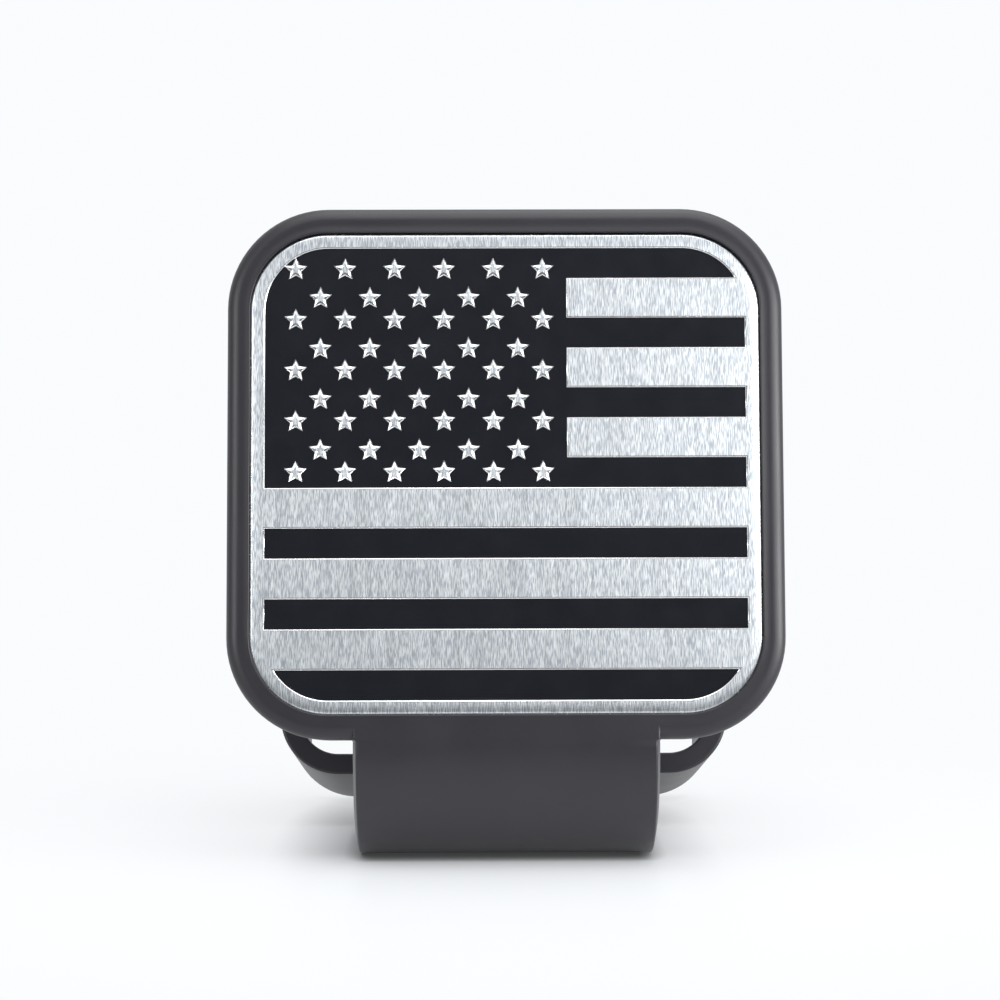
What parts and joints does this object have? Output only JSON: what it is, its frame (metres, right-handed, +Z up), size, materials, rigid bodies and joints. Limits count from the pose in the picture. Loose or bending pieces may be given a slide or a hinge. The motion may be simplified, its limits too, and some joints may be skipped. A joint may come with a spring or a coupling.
{
  "type": "hitch receiver cover",
  "caption": "Fold-over rubber cover for a square receiver tube: padded face with a stars and stripes metal plate, rear plug, strap and square collar.",
  "frame": {"origin": "middle of the strap's flat underside, which stands on the table", "axes": "+Z up, the pad with its plate faces -Y, +X to the right seen from the front"},
  "size_m": [0.08, 0.0883, 0.0943],
  "materials": {
    "black_rubber": "satin moulded",
    "brushed_plate": "brushed upright",
    "black_enamel": "smooth enamel",
    "adhesive": "matte foam tape"
  },
  "bodies": {
    "root": {"rubber_cover": "black_rubber", "emblem_plate": "brushed_plate", "enamel_fill": "black_enamel", "adhesive_sheet": "adhesive"}
  },
  "joints": []
}
